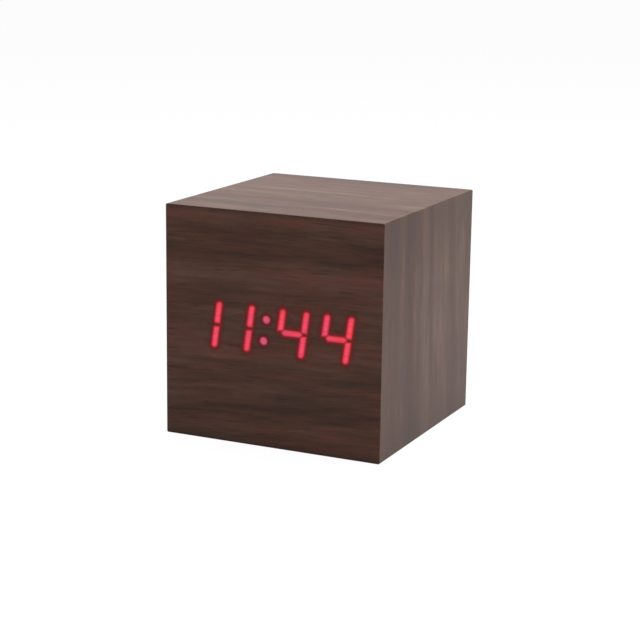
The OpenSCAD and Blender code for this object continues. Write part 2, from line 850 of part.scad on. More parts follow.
module battery_door() {
    tongue_x = tongue_w / 2;
    nose_top = bay_z1 - nose_room;
    color("#1c1c1e")
        difference() {
            union() {
                box([-door_x, rebate_y, hinge_z], [door_x, cover_out_y, door_top_z]);
                rod_x(hinge_y, hinge_z, -door_x, door_x, barrel_r);
                rod_x(hinge_y, hinge_z, -rebate_x - hinge_pin_len, rebate_x + hinge_pin_len, hinge_pin_r);
                box([-tongue_x, rebate_y - nose_reach, nose_top - nose_h],
                    [tongue_x, rebate_y + over, nose_top]);
                for (side = [-1, 1])
                    translate([side * opening_w / 4, 0, 0])
                        box([-door_rib_w / 2, rebate_y - door_rib_h, hinge_z + 2 * door_t],
                            [door_rib_w / 2, rebate_y + over, bay_z1 - 2 * door_t]);
            }
            for (x0 = [-tongue_x - tongue_slot, tongue_x])
                box([x0, rebate_y - nose_reach - over, door_top_z - tongue_len],
                    [x0 + tongue_slot, cover_out_y + over, door_top_z + over]);
            translate([0, cover_out_y + scoop_r - scoop_depth, door_top_z - tongue_len / 2])
                sphere(r = scoop_r);
        }
}

module battery_cells() {
    color("#3f6f8c")
        for (i = [0 : 2]) {
            nub_x = contact_x(cell_side[i]);
            mirror([cell_side[i] < 0 ? 1 : 0, 0, 0]) {
                rod_x(cell_y, cell_z(i), abs(nub_x) - cell_len, abs(nub_x) - nub_len, cell_r);
                rod_x(cell_y, cell_z(i), abs(nub_x) - nub_len - over, abs(nub_x), nub_r);
            }
        }
}

// Path of a contact spring from its plate to a cell's flat end, wound about the cell's axis
function spring_path(i) =
    let (
        side = -cell_side[i],
        steps = 8 * spring_turns,
        reach = spring_len - 2 * spring_wire_r - 2 * solder_gap
    )
    [
        for (s = [0 : steps])
            let (
                t = s / steps,
                r = spring_r_wide + (spring_r_tip - spring_r_wide) * t,
                a = 360 * spring_turns * t,
                x = contact_x(side) - side * (spring_wire_r + solder_gap + reach * t)
            )
            [x, cell_y + r * cos(a), cell_z(i) + r * sin(a)]
    ];

module contact_springs() {
    color("#d0d2d4")
        for (i = [0 : 2])
            tube(spring_path(i), spring_wire_r, 6, [1, 0, 0]);
}

module contact_plate(side, low_cell, high_cell) {
    x0 = contact_x(side);
    x1 = side * bay_len / 2;
    box([min(x0, x1), cell_y - contact_w / 2, cell_z(low_cell) - contact_w / 2],
        [max(x0, x1), cell_y + contact_w / 2, cell_z(high_cell) + contact_w / 2]);
}

module contact_bridges() {
    color("#cfd1d3") {
        contact_plate(-1, 0, 1);
        contact_plate(1, 1, 2);
    }
}

module terminal_contacts() {
    color("#cfd1d3")
        for (cell = [0, 2]) {
            side = cell == 0 ? 1 : -1;
            x0 = contact_x(side);
            x1 = side * bay_len / 2;
            contact_plate(side, cell, cell);
            box([min(x0, x1), bay_back_y - tab_reach, cell_z(cell) - tab_w / 2],
                [max(x0, x1), cell_y, cell_z(cell) + tab_w / 2]);
        }
}

// Lead from the end of a soldering tab, in a bow, to a pad on the front of the button board
function lead_path(cell) =
    let (
        side = cell == 0 ? 1 : -1,
        start = [side * (bay_len / 2 - contact_t / 2), bay_back_y - tab_reach, cell_z(cell)],
        finish = [side * lead_pad_x, key_front_y, row_z],
        bow = [0, -lead_bow, 0]
    )
    [for (i = [0 : lead_steps]) bezier(start, start + bow, finish + bow, finish, i / lead_steps)];

module positive_lead() {
    color("#b3262a")
        tube(lead_path(2), lead_r, lead_sides, [1, 0, 0]);
}

module negative_lead() {
    color("#1b1b1d")
        tube(lead_path(0), lead_r, lead_sides, [1, 0, 0]);
}

module key_pcb() {
    color("#1f6b3a")
        difference() {
            box([-key_half_w, key_front_y, key_z0], [key_half_w, key_rear_y, key_z1]);
            for (x = [-post_x, post_x])
                rod_y(x, row_z, key_front_y - over, key_rear_y + over, key_screw_r + pass_gap);
        }
}

module key_pcb_screws() {
    color("#b9bcc0")
        for (x = [-post_x, post_x])
            mirror([0, 1, 0])
                screw(x, row_z, -key_front_y, key_screw_r, key_pcb_t + key_screw_bite,
                    key_head_r, key_head_h);
}

module tact_switches() {
    color("#2a2a2c")
        for (x = button_x)
            difference() {
                box([x - switch_side / 2, key_rear_y, row_z - switch_side / 2],
                    [x + switch_side / 2, key_rear_y + switch_h, row_z + switch_side / 2]);
                rod_y(x, row_z, key_rear_y + switch_h - plunger_in - button_travel - plunger_floor,
                    key_rear_y + switch_h + over, plunger_r + plunger_fit);
            }
}

module plunger(i) {
    color("#e8e4d8")
        rod_y(button_x[i], row_z, plunger_tip_y - plunger_out - plunger_in, plunger_tip_y, plunger_r);
}

// A button: a cap with a chamfered edge, a collar behind the cover and a stem down to the switch
module button(i) {
    r = button_d / 2;
    top_y = cover_out_y + button_proud;
    color("#2b2b2d") {
        rod_y(button_x[i], row_z, cover_in_y - over, top_y - button_chamfer, r);
        translate([button_x[i], top_y - button_chamfer, row_z])
            rotate([-90, 0, 0])
                cylinder(h = button_chamfer, r1 = r, r2 = r - button_chamfer);
        rod_y(button_x[i], row_z, cover_in_y - collar_t, cover_in_y, collar_r);
        rod_y(button_x[i], row_z, plunger_tip_y, cover_in_y - collar_t + over, stem_r);
    }
}

module dc_jack() {
    color("#161618")
        difference() {
            box([jack_x - jack_side / 2, key_rear_y, row_z - jack_side / 2],
                [jack_x + jack_side / 2, cover_in_y, row_z + jack_side / 2]);
            rod_y(jack_x, row_z, key_rear_y + jack_wall, cover_in_y + over, jack_bore_r);
        }
}

module dc_jack_pin() {
    color("#d8c27a")
        rod_y(jack_x, row_z, key_rear_y + jack_wall, cover_in_y - jack_pin_set_back, jack_pin_r);
}

// Least gap between neighbouring turns of a contact spring
spring_turn_gaps = let (p = spring_path(0))
    [for (s = [0 : len(p) - 9]) norm(p[s + 8] - p[s]) - 2 * spring_wire_r];
echo(least_spring_gap = min(spring_turn_gaps));

front_board();
long_board(0);  // top_board
long_board(90);  // right_board
long_board(180);  // bottom_board
long_board(270);  // left_board
front_film();
lit_digit_segments();
lit_colon_dots();
corner_blocks();
digit_reflector();
light_guides();
display_pcb();
segment_leds();
display_screws();
controller_chip();
driver_chip();
quartz_crystal();
reservoir_capacitor();
alarm_buzzer();
microphone();
thermistor();
ribbon_cable();
ribbon_plugs();
rear_cover();
cover_screws();
battery_door();
battery_cells();
contact_springs();
contact_bridges();
terminal_contacts();
positive_lead();
negative_lead();
key_pcb();
key_pcb_screws();
tact_switches();
dc_jack();
dc_jack_pin();
button(0);  // set_button
button(1);  // up_button
button(2);  // down_button
plunger(0);  // set_plunger
plunger(1);  // up_plunger
plunger(2);  // down_plunger
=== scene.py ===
import math
import bpy
from mathutils import Matrix, Vector
from mathutils.kdtree import KDTree


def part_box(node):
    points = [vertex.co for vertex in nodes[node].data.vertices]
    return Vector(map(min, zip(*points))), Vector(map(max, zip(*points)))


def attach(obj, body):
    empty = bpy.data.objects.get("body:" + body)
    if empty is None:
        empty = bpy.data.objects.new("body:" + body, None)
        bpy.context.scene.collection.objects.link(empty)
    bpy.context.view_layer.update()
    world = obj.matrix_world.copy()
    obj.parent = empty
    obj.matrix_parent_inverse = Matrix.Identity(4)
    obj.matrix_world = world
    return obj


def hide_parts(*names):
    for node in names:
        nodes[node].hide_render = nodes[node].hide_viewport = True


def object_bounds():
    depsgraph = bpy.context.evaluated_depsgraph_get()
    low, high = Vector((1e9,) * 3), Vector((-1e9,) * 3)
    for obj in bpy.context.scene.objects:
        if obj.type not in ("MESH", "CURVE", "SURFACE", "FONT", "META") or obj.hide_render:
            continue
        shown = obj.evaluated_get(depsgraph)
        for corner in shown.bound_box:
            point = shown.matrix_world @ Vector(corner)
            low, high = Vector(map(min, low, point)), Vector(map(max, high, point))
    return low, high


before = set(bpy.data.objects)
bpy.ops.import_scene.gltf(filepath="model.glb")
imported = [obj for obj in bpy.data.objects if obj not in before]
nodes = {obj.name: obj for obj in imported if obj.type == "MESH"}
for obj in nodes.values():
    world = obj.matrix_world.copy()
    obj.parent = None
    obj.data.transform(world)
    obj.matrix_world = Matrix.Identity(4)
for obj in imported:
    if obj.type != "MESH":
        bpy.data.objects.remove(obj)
cadBox = [list(corner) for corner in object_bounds()]
mm = 0.001
mergeGap = 0.0005           # mm, closes the loose triangles of a copied solid
mergeAngle = 0.4            # degrees, up to which its triangles count as one flat face
facesAxis = 0.9             # share of an axis in a face's normal from which the face looks along it
flatAcross = 0.999          # share from which the face lies flat across that axis
boxDigits = 4               # decimals kept of a measure in mm, without the noise of single precision
print("frame:", len(nodes), "solids")


# measures taken from the frame
def boxOf(corners):
    # low and high corner, middle and size in mm
    low, high = ([round(c / mm, boxDigits) for c in corner] for corner in corners)
    return {"low": low, "high": high, "middle": [(a + b) / 2 for a, b in zip(low, high)],
            "size": [b - a for a, b in zip(low, high)]}


cube = boxOf(cadBox)


# small tools for modelling
def workOn(piece):
    # leaves only this piece selected, or nothing at all
    if bpy.context.mode != "OBJECT":
        bpy.ops.object.mode_set(mode="OBJECT")
    bpy.ops.object.select_all(action="DESELECT")
    if piece:
        piece.select_set(True)
        bpy.context.view_layer.objects.active = piece


def editAll(piece):
    # leaves edit mode open with the whole piece selected
    workOn(piece)
    bpy.ops.object.mode_set(mode="EDIT")
    bpy.ops.mesh.select_all(action="SELECT")


def pick(piece, kind, test):
    # leaves edit mode open with the faces or edges that pass the test selected; sizes are tested in mm
    workOn(piece)
    bpy.ops.object.mode_set(mode="EDIT")
    bpy.ops.mesh.select_mode(type=kind)
    bpy.ops.mesh.select_all(action="DESELECT")
    bpy.ops.object.mode_set(mode="OBJECT")
    points = piece.data.vertices
    if kind == "FACE":
        for face in piece.data.polygons:
            face.select = test(face.center / mm, face.normal)
    else:
        for edge in piece.data.edges:
            edge.select = test(*(points[i].co / mm for i in edge.vertices))
    bpy.ops.object.mode_set(mode="EDIT")


def objectMode():
    bpy.ops.object.mode_set(mode="OBJECT")


def named(name):
    # names the new primitive and puts its place into its mesh
    piece = bpy.context.object
    piece.name = piece.data.name = name
    bpy.ops.object.transform_apply(location=True, rotation=True, scale=True)
    return piece


def copyOf(nodeName, name):
    # a copy of a solid with its loose triangles merged back into whole faces
    piece = bpy.data.objects.new(name, nodes[nodeName].data.copy())
    piece.data.name = name
    piece.data.materials.clear()
    bpy.context.scene.collection.objects.link(piece)
    workOn(piece)
    bpy.ops.mesh.customdata_custom_splitnormals_clear()
    editAll(piece)
    bpy.ops.mesh.remove_doubles(threshold=mergeGap * mm)
    bpy.ops.mesh.dissolve_limited(angle_limit=math.radians(mergeAngle))
    objectMode()
    return piece


def copyTurned(piece, name, axis, here, there):
    # a copy with its own mesh, turned half round about an axis through one point and moved to another, in mm
    other = bpy.data.objects.new(name, piece.data.copy())
    other.data.name = name
    bpy.context.scene.collection.objects.link(other)
    other.data.transform(Matrix.Translation(Vector(there) * mm) @ Matrix.Rotation(math.pi, 4, axis)
                         @ Matrix.Translation(Vector(here) * -mm))
    return other


def roundEdges(piece, width, segments=3, angle=20):
    # flat faces stay flat in the shading, and only the rounded strips turn
    workOn(piece)
    bpy.ops.object.shade_smooth()
    bevel = piece.modifiers.new("edges", "BEVEL")
    bevel.width = width * mm
    bevel.segments = segments
    bevel.limit_method = "ANGLE"
    bevel.angle_limit = math.radians(angle)
    bevel.harden_normals = True
    bpy.ops.object.modifier_apply(modifier=bevel.name)


def settle(piece, body, slotName, finish, *replaced):
    # gives a piece its finish, its body and the solids that it stands for; its slot name is not used
    piece.data.materials.clear()
    for one in finish if isinstance(finish, list) else [finish]:
        piece.data.materials.append(one)
    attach(piece, body)
    if replaced:
        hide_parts(*replaced)


# small tools for materials
def toLinear(hexColour):
    # the sRGB curve, with full alpha
    parts = [int(hexColour[i:i + 2], 16) / 255 for i in (1, 3, 5)]
    return [p / 12.92 if p <= 0.04045 else ((p + 0.055) / 1.055) ** 2.4 for p in parts] + [1.0]


def addNode(tree, kind, settings=None, links=None):
    # settings are the node's own options, links are its inputs: a node, a socket or a plain value; sockets of
    # a Mix node share their names and go by number: 0 the share, 2 and 3 numbers, 6 and 7 colours
    node = tree.nodes.new("ShaderNode" + kind)
    for key, value in (settings or {}).items():
        if key == "stops":
            ramp = node.color_ramp.elements
            while len(ramp) < len(value):
                ramp.new(1.0)
            for stop, (place, colour) in zip(ramp, value):
                stop.position = place
                stop.color = toLinear(colour) if isinstance(colour, str) else (colour, colour, colour, 1.0)
        else:
            setattr(node, key, value)
    for key, value in (links or {}).items():
        if isinstance(value, bpy.types.Node):
            value = value.outputs[0]
        if isinstance(value, bpy.types.NodeSocket):
            tree.links.new(value, node.inputs[key])
        else:
            node.inputs[key].default_value = value
    return node


def newMaterial(name, fixed):
    # fixed are plain values on the shader's own sockets
    material = bpy.data.materials.new(name)
    material.use_nodes = True
    tree = material.node_tree
    skin = tree.nodes["Principled BSDF"]
    for key, value in fixed.items():
        skin.inputs[key].default_value = value
    return material, tree, skin


noiseLow = 0.3              # most of a noise pattern's values lie between these two
noiseHigh = 0.7

# Wood-grain film: satin vinyl printed with dark walnut and pressed with fine pores. The eye sees low,
# slightly wavy streaks, redder and darker bands, cooler and warmer patches, short dark pores and a grey sheen
# at low angles. A layer of the grain is its width and length in mm and how finely it breaks up.
woodLook = {
    # darkest, middle and lightest tone, streaks, shares of streaks and fibres in the tone, redness of the
    # light bands, and tints of the cooler and warmer patches; the top and the boards catch more light, so
    # their
    # tones are greyer: a painted sheen that varies with the stripes
    "front": {"tones": ("#312018", "#593b30", "#785349"), "streak": (2.0, 24.0, 2.5), "streakShare": 0.25,
              "fibreShare": 0.09, "blush": 0.35, "patches": ("#f2faf8", "#fff3f0")},
    "top": {"tones": ("#38190a", "#56392d", "#7d625a"), "streak": (2.6, 24.0, 2.5), "streakShare": 0.46,
            "fibreShare": 0.13, "blush": 0.0, "patches": ("#fff7ff", "#fbfff2")},
    "board": {"tones": ("#39190a", "#56392d", "#7d625a"), "streak": (3.6, 24.0, 2.5), "streakShare": 0.28,
              "fibreShare": 0.07, "blush": 0.0, "patches": ("#fff7ff", "#fbfff2")},
    "sway": (14.0, 38.0, 1.0), "swing": 2.4,             # slow waves of the grain and how far they swing
    "band": (8.0, 80.0, 2.0),
    "patch": (6.0, 22.0, 1.0), "patchSpan": (0.40, 0.60),
    "fibre": (0.6, 8.0, 2.0),                            # drawn coarser than real fibres, so that they show
    "pore": (0.5, 7.0, 1.0), "poreSpan": (0.60, 0.74),   # pores, also coarser than real ones
    "poreShare": 0.4, "poreColour": "#2c1d18",
    "noiseRough": 0.55,
    "bandStep": 0.030,                                   # tone of one step of a placed band
    "bandShare": 0.85,                                   # share of the placed bands beside the random ones
    "toneLow": 0.39, "toneMiddle": 0.50, "toneHigh": 0.61,
    "blushSpan": (0.50, 0.62), "blushColour": "#704236",
    # the first colour here is the stain of the cut rear edges, and it also gives the painted shade in the
    # front's folds
    "cutEdgeAndFoldShade": "#2b1e19", "backSpan": (0.6, 0.8), "backShare": 0.88,
    # colour of the painted shade round the lit strokes
    "haloShade": "#1d0806",
    "rough": (0.40, 0.52), "relief": 0.03, "bump": 0.35, "ior": 1.5, "specular": 0.16,
    "sheen": 0.27, "sheenRough": 0.35, "sheenTint": "#fff4ec",
}


def woodFilm(name, kind, turn, across, lean, shift, bands, paintedLightAlong=None, lit=None):
    # turn lays the grain along X, across is the axis that crosses it, and lean is its slant in degrees at the
    # low and at the high edge; bands are broad stripes: mm from the middle and steps lighter or darker;
    # steps along the grain, given after the bands, do the same and are painted light and shade; lit holds the
    # red glow and the painted shade in the folds of the front
    look = woodLook
    own = look[kind]
    dark, middle, light = own["tones"]
    cool, warm = own["patches"]
    half = cube["size"][0] / 2
    material, tree, skin = newMaterial(name, {
        "IOR": look["ior"], "Specular IOR Level": look["specular"], "Sheen Weight": look["sheen"],
        "Sheen Roughness": look["sheenRough"], "Sheen Tint": toLinear(look["sheenTint"])})

    def grain(vector, wide, long, detail):
        # one layer: noise drawn out along X
        scaled = addNode(tree, "Mapping", {}, {
            "Vector": vector, "Location": shift,
            "Scale": (1 / (long * mm), 1 / (wide * mm), 1 / (wide * mm))})
        return addNode(tree, "TexNoise", {}, {
            "Vector": scaled, "Scale": 1.0, "Detail": detail, "Roughness": look["noiseRough"]})

    def placedTone(value, spots, aside):
        # stripes at given places, in steps about the middle tone
        low = spots[0][0]
        high = spots[-1][0]
        share = addNode(tree, "MapRange", {}, {
            "Value": value, "From Min": (low + aside) * mm, "From Max": (high + aside) * mm})
        stops = [((spot - low) / (high - low), look["toneMiddle"] + step * look["bandStep"])
                 for spot, step in spots]
        ramp = addNode(tree, "ValToRGB", {"stops": stops}, {"Fac": share})
        ramp.color_ramp.interpolation = "EASE"
        return ramp

    # the grain is laid along X, slanted and swayed
    place = addNode(tree, "TexCoord")
    centred = addNode(tree, "VectorMath", {"operation": "SUBTRACT"}, {
        0: place.outputs["Object"], 1: [c * mm for c in cube["middle"]]})
    turned = addNode(tree, "Mapping", {}, {"Vector": centred, "Rotation": [math.radians(a) for a in turn]})
    axes = addNode(tree, "SeparateXYZ", {}, {0: turned})
    slant = addNode(tree, "MapRange", {}, {
        "Value": axes.outputs[across], "From Min": -half * mm, "From Max": half * mm,
        "To Min": math.tan(math.radians(lean[0])), "To Max": math.tan(math.radians(lean[1]))})
    rise = addNode(tree, "Math", {"operation": "MULTIPLY"}, {0: axes.outputs["X"], 1: slant})
    level = addNode(tree, "Math", {"operation": "SUBTRACT"}, {0: axes.outputs[across], 1: rise})
    other = "Z" if across == "Y" else "Y"
    laid = addNode(tree, "CombineXYZ", {}, {
        "X": axes.outputs["X"], across: level, other: axes.outputs[other]})
    sway = grain(laid, *look["sway"])
    run = addNode(tree, "VectorMath", {"operation": "MULTIPLY_ADD"}, {
        0: sway.outputs["Color"], 1: (0.0, look["swing"] * mm, look["swing"] * mm), 2: laid})
    band = grain(run, *look["band"])
    streak = grain(run, *own["streak"])
    fibre = grain(run, *look["fibre"])
    pore = grain(run, *look["pore"])
    patch = grain(run, *look["patch"])

    # placed bands, random bands, streaks and fibres together give the tone
    swayed = addNode(tree, "SeparateXYZ", {}, {0: run})
    placed = placedTone(swayed.outputs[across], bands, look["swing"] / 2)
    # painted light and shade along the grain, added to the bands
    if paintedLightAlong:
        both = addNode(tree, "Math", {"operation": "ADD"}, {
            0: placed, 1: placedTone(axes.outputs["X"], paintedLightAlong, 0.0)})
        placed = addNode(tree, "Math", {"operation": "SUBTRACT"}, {0: both, 1: look["toneMiddle"]})
    broad = addNode(tree, "Mix", {}, {0: look["bandShare"], 2: band, 3: placed})
    streaky = addNode(tree, "Mix", {}, {0: own["streakShare"], 2: broad, 3: streak})
    tone = addNode(tree, "Mix", {}, {0: own["fibreShare"], 2: streaky, 3: fibre})
    colour = addNode(tree, "ValToRGB", {"stops": (
        (look["toneLow"], dark), (look["toneMiddle"], middle), (look["toneHigh"], light))}, {"Fac": tone})
    if own["blush"]:
        blush = addNode(tree, "MapRange", {}, {
            "Value": broad.outputs[0], "From Min": look["blushSpan"][0], "From Max": look["blushSpan"][1],
            "To Max": own["blush"]})
        colour = addNode(tree, "Mix", {"data_type": "RGBA"}, {
            0: blush, 6: colour, 7: toLinear(look["blushColour"])}).outputs[2]
    poreMask = addNode(tree, "MapRange", {"interpolation_type": "SMOOTHSTEP"}, {
        "Value": pore.outputs["Fac"], "From Min": look["poreSpan"][0], "From Max": look["poreSpan"][1],
        "To Max": look["poreShare"]})
    colour = addNode(tree, "Mix", {"data_type": "RGBA"}, {
        0: poreMask, 6: colour, 7: toLinear(look["poreColour"])}).outputs[2]
    tint = addNode(tree, "ValToRGB", {"stops": (
        (look["patchSpan"][0], cool), (look["patchSpan"][1], warm))}, {"Fac": patch})
    colour = addNode(tree, "Mix", {"data_type": "RGBA", "blend_type": "MULTIPLY"}, {
        0: 1.0, 6: colour, 7: tint}).outputs[2]
    if lit:
        # painted shade: the film darkens towards its top and bottom edges, where it is folded back
        height = addNode(tree, "SeparateXYZ", {}, {0: centred})
        away = addNode(tree, "Math", {"operation": "ABSOLUTE"}, {0: height.outputs["Z"]})
        foldShade = addNode(tree, "MapRange", {}, {
            "Value": away, "From Min": (half - lit["foldShade"]) * mm, "From Max": half * mm,
            "To Max": lit["foldShadeShare"]})
        colour = addNode(tree, "Mix", {"data_type": "RGBA"}, {
            0: foldShade, 6: colour, 7: toLinear(look["cutEdgeAndFoldShade"])}).outputs[2]
        # light that spreads sideways in the film: deep red close to the strokes, and painted shade that
        # darkens the film's colour there
        spread = addNode(tree, "Attribute", {"attribute_name": "glow"})
        shade = addNode(tree, "Attribute", {"attribute_name": "shade"})
        colour = addNode(tree, "Mix", {"data_type": "RGBA"}, {
            0: shade.outputs["Fac"], 6: colour, 7: toLinear(look["haloShade"])}).outputs[2]
        skin.inputs["Emission Color"].default_value = toLinear(lit["glow"])
        tree.links.new(spread.outputs["Fac"], skin.inputs["Emission Strength"])
    else:
        # the film ends at the back, where the board's stained edge shows
        looksAt = addNode(tree, "SeparateXYZ", {}, {0: place.outputs["Normal"]})
        back = addNode(tree, "MapRange", {}, {
            "Value": looksAt.outputs["Y"], "From Min": look["backSpan"][0], "From Max": look["backSpan"][1],
            "To Max": look["backShare"]})
        colour = addNode(tree, "Mix", {"data_type": "RGBA"}, {
            0: back, 6: colour, 7: toLinear(look["cutEdgeAndFoldShade"])}).outputs[2]
    gloss = addNode(tree, "MapRange", {}, {
        "Value": streak.outputs["Fac"], "From Min": noiseLow, "From Max": noiseHigh,
        "To Min": look["rough"][0], "To Max": look["rough"][1]})
    dents = addNode(tree, "Math", {"operation": "SUBTRACT"}, {0: fibre, 1: poreMask})
    bump = addNode(tree, "Bump", {}, {
        "Strength": look["bump"], "Distance": look["relief"] * mm, "Height": dents})
    tree.links.new(colour, skin.inputs["Base Color"])
    tree.links.new(gloss.outputs[0], skin.inputs["Roughness"])
    tree.links.new(bump.outputs[0], skin.inputs["Normal"])
    return material


# Lamp light seen through the film: red that turns a little pinker in places, darker towards the rim of each
# stroke and crossed by faint lines of the grain. Sizes are in mm.
lampLook = {
    "unlit": "#3a201c", "traceLong": 8.0, "traceWide": 0.6, "traceDetail": 2.0, "veil": (0.84, 1.12),
    "patch": 5.0, "patchSpan": (0.38, 0.62), "rough": (0.40, 0.52), "relief": 0.02, "bump": 0.3,
}


def litFilm(name, red, pink, brightness):
    look = lampLook
    material, tree, skin = newMaterial(name, {
        "Base Color": toLinear(look["unlit"]), "IOR": woodLook["ior"],
        "Specular IOR Level": woodLook["specular"]})
    place = addNode(tree, "TexCoord")
    thin = 1 / (look["traceWide"] * mm)
    scaled = addNode(tree, "Mapping", {}, {
        "Vector": place.outputs["Object"], "Scale": (1 / (look["traceLong"] * mm), thin, thin)})
    trace = addNode(tree, "TexNoise", {}, {"Vector": scaled, "Scale": 1.0, "Detail": look["traceDetail"]})
    patch = addNode(tree, "TexNoise", {}, {
        "Vector": place.outputs["Object"], "Scale": 1 / (look["patch"] * mm)})
    hue = addNode(tree, "ValToRGB", {"stops": (
        (look["patchSpan"][0], red), (look["patchSpan"][1], pink))}, {"Fac": patch})
    veil = addNode(tree, "MapRange", {}, {
        "Value": trace.outputs["Fac"], "From Min": noiseLow, "From Max": noiseHigh,
        "To Min": look["veil"][0] * brightness, "To Max": look["veil"][1] * brightness})
    core = addNode(tree, "Attribute", {"attribute_name": "core"})
    strength = addNode(tree, "Math", {"operation": "MULTIPLY"}, {0: core.outputs["Fac"], 1: veil})
    gloss = addNode(tree, "MapRange", {}, {
        "Value": trace.outputs["Fac"], "To Min": look["rough"][0], "To Max": look["rough"][1]})
    bump = addNode(tree, "Bump", {}, {
        "Strength": look["bump"], "Distance": look["relief"] * mm, "Height": trace})
    tree.links.new(hue.outputs[0], skin.inputs["Emission Color"])
    tree.links.new(strength.outputs[0], skin.inputs["Emission Strength"])
    tree.links.new(gloss.outputs[0], skin.inputs["Roughness"])
    tree.links.new(bump.outputs[0], skin.inputs["Normal"])
    return material


# Moulded, drawn and plated finishes: two close tones in soft patches, a fine grit that scatters the gloss and
# a shallow relief. Patch, grit and relief are in mm; the grit is drawn coarser than it is, so that it shows.
plainLook = {"patchDetail": 4.0, "patchSpan": (0.36, 0.64), "gritDetail": 2.0, "bump": 0.6}


def plainFinish(name, light, dark, patch, grit, rough, relief, metal=0.0, stretch=(1, 1, 1)):
    look = plainLook
    material, tree, skin = newMaterial(name, {"Metallic": metal})
    place = addNode(tree, "TexCoord")
    drawn = addNode(tree, "Mapping", {}, {"Vector": place.outputs["Object"], "Scale": stretch})
    tone = addNode(tree, "TexNoise", {}, {
        "Vector": drawn, "Scale": 1 / (patch * mm), "Detail": look["patchDetail"]})
    colour = addNode(tree, "ValToRGB", {"stops": (
        (look["patchSpan"][0], dark), (look["patchSpan"][1], light))}, {"Fac": tone})
    speck = addNode(tree, "TexNoise", {}, {
        "Vector": drawn, "Scale": 1 / (grit * mm), "Detail": look["gritDetail"]})
    gloss = addNode(tree, "MapRange", {}, {
        "Value": speck.outputs["Fac"], "From Min": noiseLow, "From Max": noiseHigh,
        "To Min": rough[0], "To Max": rough[1]})
    bump = addNode(tree, "Bump", {}, {
        "Strength": look["bump"], "Distance": relief * mm, "Height": speck})
    tree.links.new(colour.outputs[0], skin.inputs["Base Color"])
    tree.links.new(gloss.outputs[0], skin.inputs["Roughness"])
    tree.links.new(bump.outputs[0], skin.inputs["Normal"])
    return material


